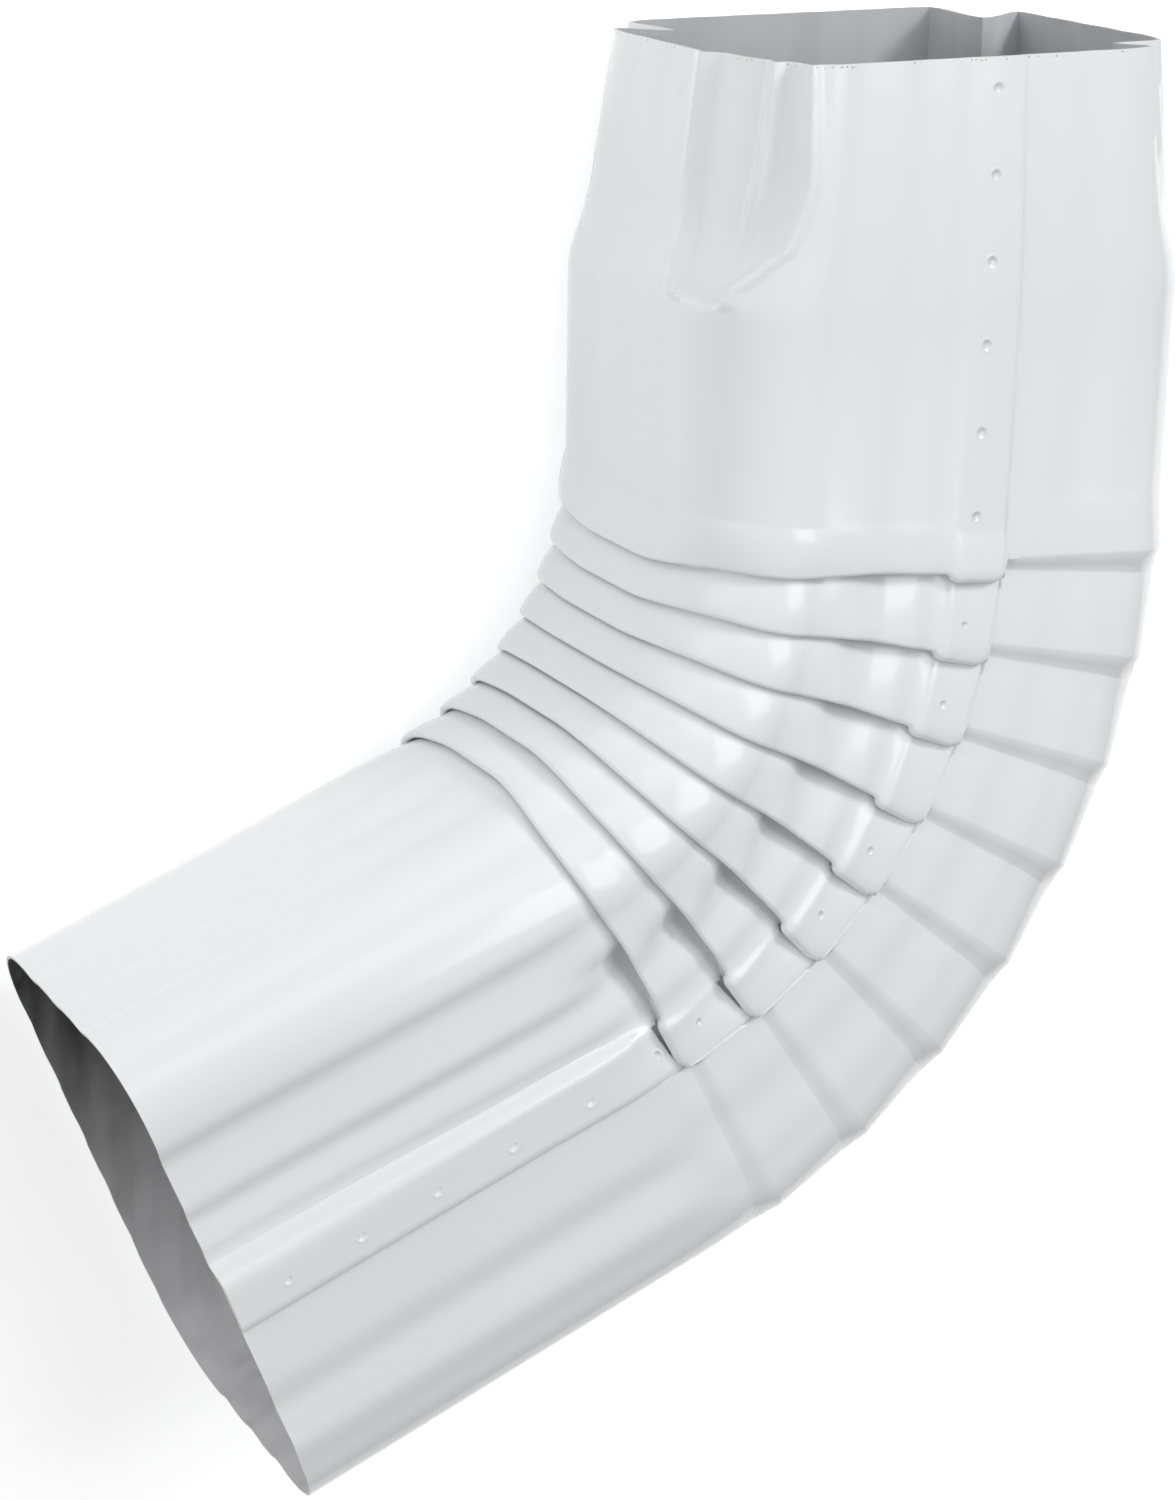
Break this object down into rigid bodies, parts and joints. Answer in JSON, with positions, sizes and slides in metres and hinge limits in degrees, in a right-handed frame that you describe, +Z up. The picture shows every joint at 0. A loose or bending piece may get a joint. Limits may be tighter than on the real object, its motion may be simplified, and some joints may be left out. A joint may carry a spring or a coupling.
{
  "type": "downspout elbow",
  "caption": "White painted sheet-metal downspout elbow, fluted rectangular tube with a pleated bend, a lock seam, one crimped mouth and one plain mouth.",
  "frame": {"origin": "centre of the bounding box, at the floor the elbow lies on", "axes": "+Z up from the plain side face that it lies on to the face with the lock seam; +Y along the crimped leg, out of its mouth; the bend is in the XY plane and its heel faces +X"},
  "size_m": [0.1726, 0.2058, 0.0634],
  "materials": {
    "white_enamel": "satin baked enamel on sheet aluminium"
  },
  "bodies": {
    "root": {"elbow": "white_enamel"}
  },
  "joints": []
}
